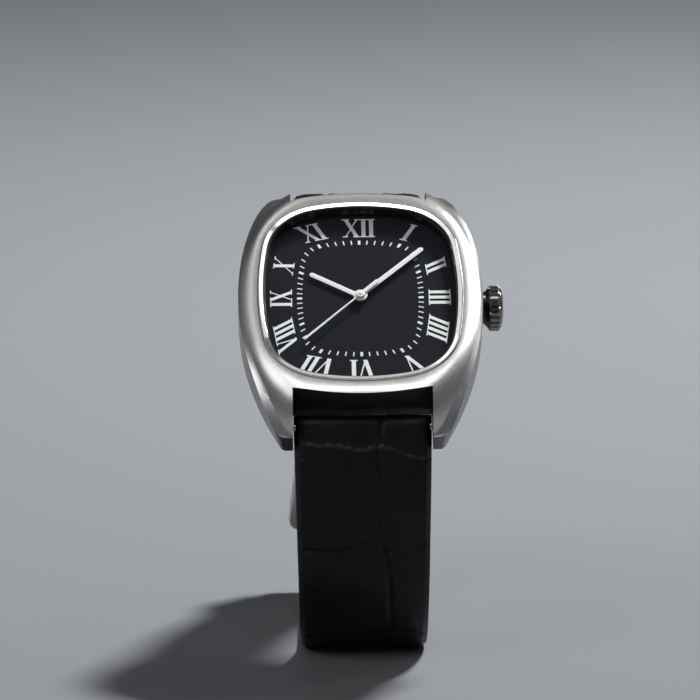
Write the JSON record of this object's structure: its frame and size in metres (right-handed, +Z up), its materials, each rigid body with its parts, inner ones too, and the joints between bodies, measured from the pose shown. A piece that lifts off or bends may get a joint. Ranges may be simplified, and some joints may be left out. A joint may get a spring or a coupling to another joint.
{
  "type": "wristwatch",
  "caption": "Wristwatch with a cushion-shaped steel case, black dial with Roman figures, hands, crown and a buckled leather strap, standing on its closed strap.",
  "frame": {"origin": "under the middle of the watch's outline, on the ground that the strap stands on", "axes": "+Z up, +X from 9 to 3 o'clock and out through the crown, +Y to the back, where the buckle is; the dial leans back and faces up and toward -Y"},
  "size_m": [0.0424, 0.0632, 0.0703],
  "materials": {
    "case_steel": "satin brushed along the lugs",
    "polished_steel": "mirror polished",
    "dark_steel": null,
    "spring_steel": "bright drawn",
    "crystal": "clear, polished",
    "dial_black": "gloss lacquer",
    "print_white": "raised pad print",
    "hand_metal": "satin, pale silver",
    "brass": "fine turned",
    "nickel": "nickel plated",
    "copper": "enamelled winding wire",
    "magnet": "sintered, dark grey",
    "board": "solder mask",
    "holder_plastic": "moulded",
    "black_plastic": "gloss",
    "seal_rubber": "plain",
    "strap_leather": "scale-embossed, soft sheen",
    "lining_leather": "smooth nubuck"
  },
  "bodies": {
    "watch": {"case_middle": "case_steel", "bezel_ring": "polished_steel", "crystal": "crystal", "crystal_gasket": "seal_rubber", "rehaut_ring": "black_plastic", "dial_plate": "dial_black", "hour_figures": "print_white", "minute_track": "print_white", "stator": "nickel", "coil_core": "nickel", "coil_winding": "copper", "main_plate": "nickel", "train_bridge": "nickel", "circuit_board": "board", "button_cell": "spring_steel", "cell_clamp": "spring_steel", "movement_screws": "spring_steel", "movement_holder": "holder_plastic", "crown_tube": "spring_steel", "case_back": "case_steel", "back_gasket": "seal_rubber", "back_screws": "polished_steel", "lower_bar_tube": "spring_steel", "upper_bar_tube": "spring_steel", "strap_long": "strap_leather", "strap_long_lining": "lining_leather", "strap_short": "strap_leather", "strap_short_lining": "lining_leather", "keeper_fixed": "strap_leather", "buckle_bar_tube": "spring_steel"},
    "seconds": {"second_hand": "hand_metal", "second_wheel": "brass"},
    "minutes": {"minute_hand": "hand_metal", "center_wheel": "brass"},
    "hours": {"hour_hand": "hand_metal", "hour_wheel": "brass"},
    "motion_work": {"minute_wheel": "brass"},
    "third": {"third_wheel": "brass"},
    "fifth": {"fifth_wheel": "brass"},
    "motor": {"rotor": "magnet"},
    "crown_seal": {"crown_gasket": "seal_rubber"},
    "winding_crown": {"crown": "dark_steel", "stem": "spring_steel"},
    "buckle": {"buckle_frame": "polished_steel"},
    "tongue": {"buckle_tongue": "polished_steel"},
    "loose_keeper": {"keeper_free": "strap_leather"},
    "lower_left_tip": {"lower_bar_tip_left": "spring_steel"},
    "lower_right_tip": {"lower_bar_tip_right": "spring_steel"},
    "upper_left_tip": {"upper_bar_tip_left": "spring_steel"},
    "upper_right_tip": {"upper_bar_tip_right": "spring_steel"},
    "buckle_left_tip": {"buckle_bar_tip_left": "spring_steel"},
    "buckle_right_tip": {"buckle_bar_tip_right": "spring_steel"}
  },
  "joints": [
    {"name": "second_hand_turn", "type": "hinge", "parent": "watch", "child": "seconds", "pos_m": [-0.0017, -0.01396, 0.056], "axis": [0, 0.6239, -0.7815], "continuous": true},
    {"name": "minute_hand_turn", "type": "hinge", "parent": "watch", "child": "minutes", "pos_m": [-0.0017, -0.01396, 0.056], "axis": [0, 0.6239, -0.7815], "continuous": true},
    {"name": "hour_hand_turn", "type": "hinge", "parent": "watch", "child": "hours", "pos_m": [-0.0017, -0.01396, 0.056], "axis": [0, 0.6239, -0.7815], "continuous": true},
    {"name": "minute_wheel_turn", "type": "hinge", "parent": "watch", "child": "motion_work", "pos_m": [0.0001, -0.01297, 0.05679], "axis": [0, 0.6239, -0.7815], "continuous": true},
    {"name": "third_wheel_turn", "type": "hinge", "parent": "watch", "child": "third", "pos_m": [-0.00361, -0.01545, 0.05481], "axis": [0, 0.6239, -0.7815], "continuous": true},
    {"name": "fifth_wheel_turn", "type": "hinge", "parent": "watch", "child": "fifth", "pos_m": [-0.00149, -0.01209, 0.05749], "axis": [0, 0.6239, -0.7815], "continuous": true},
    {"name": "rotor_turn", "type": "hinge", "parent": "watch", "child": "motor", "pos_m": [-0.00379, -0.01144, 0.05801], "axis": [0, 0.6239, -0.7815], "continuous": true},
    {"name": "crown_pull", "type": "slide", "parent": "watch", "child": "crown_seal", "axis": [1, 0, 0], "range_m": [0, 0.001]},
    {"name": "crown_turn", "type": "hinge", "parent": "crown_seal", "child": "winding_crown", "pos_m": [0.0179, -0.01221, 0.05381], "axis": [1, 0, 0], "continuous": true},
    {"name": "buckle_swing", "type": "hinge", "parent": "watch", "child": "buckle", "pos_m": [-0.0017, 0.02364, 0.0205], "axis": [1, 0, 0], "range_deg": [0, 3]},
    {"name": "tongue_swing", "type": "hinge", "parent": "buckle", "child": "tongue", "pos_m": [-0.0017, 0.02364, 0.0205], "axis": [1, 0, 0], "range_deg": [0, 5]},
    {"name": "keeper_slide", "type": "slide", "parent": "watch", "child": "loose_keeper", "axis": [0, -0.0516, 0.9987], "range_m": [-0.002, 0.002]},
    {"name": "lower_bar_left_tip_slide", "type": "slide", "parent": "watch", "child": "lower_left_tip", "axis": [1, 0, 0], "range_m": [0, 0.001], "stiffness_N_per_m": 60, "springref_m": -0.001},
    {"name": "lower_bar_right_tip_slide", "type": "slide", "parent": "watch", "child": "lower_right_tip", "axis": [-1, 0, 0], "range_m": [0, 0.001], "stiffness_N_per_m": 60, "springref_m": -0.001},
    {"name": "upper_bar_left_tip_slide", "type": "slide", "parent": "watch", "child": "upper_left_tip", "axis": [1, 0, 0], "range_m": [0, 0.001], "stiffness_N_per_m": 60, "springref_m": -0.001},
    {"name": "upper_bar_right_tip_slide", "type": "slide", "parent": "watch", "child": "upper_right_tip", "axis": [-1, 0, 0], "range_m": [0, 0.001], "stiffness_N_per_m": 60, "springref_m": -0.001},
    {"name": "buckle_bar_left_tip_slide", "type": "slide", "parent": "watch", "child": "buckle_left_tip", "axis": [1, 0, 0], "range_m": [0, 0.001], "stiffness_N_per_m": 60, "springref_m": -0.001},
    {"name": "buckle_bar_right_tip_slide", "type": "slide", "parent": "watch", "child": "buckle_right_tip", "axis": [-1, 0, 0], "range_m": [0, 0.001], "stiffness_N_per_m": 60, "springref_m": -0.001}
  ],
  "couplings": [
    {"joint": "minute_hand_turn", "follows": "second_hand_turn", "ratio": 0.016667},
    {"joint": "hour_hand_turn", "follows": "second_hand_turn", "ratio": 0.0013889},
    {"joint": "minute_wheel_turn", "follows": "second_hand_turn", "ratio": -0.0055556},
    {"joint": "third_wheel_turn", "follows": "second_hand_turn", "ratio": -0.13333},
    {"joint": "fifth_wheel_turn", "follows": "second_hand_turn", "ratio": -5},
    {"joint": "rotor_turn", "follows": "second_hand_turn", "ratio": 30}
  ]
}
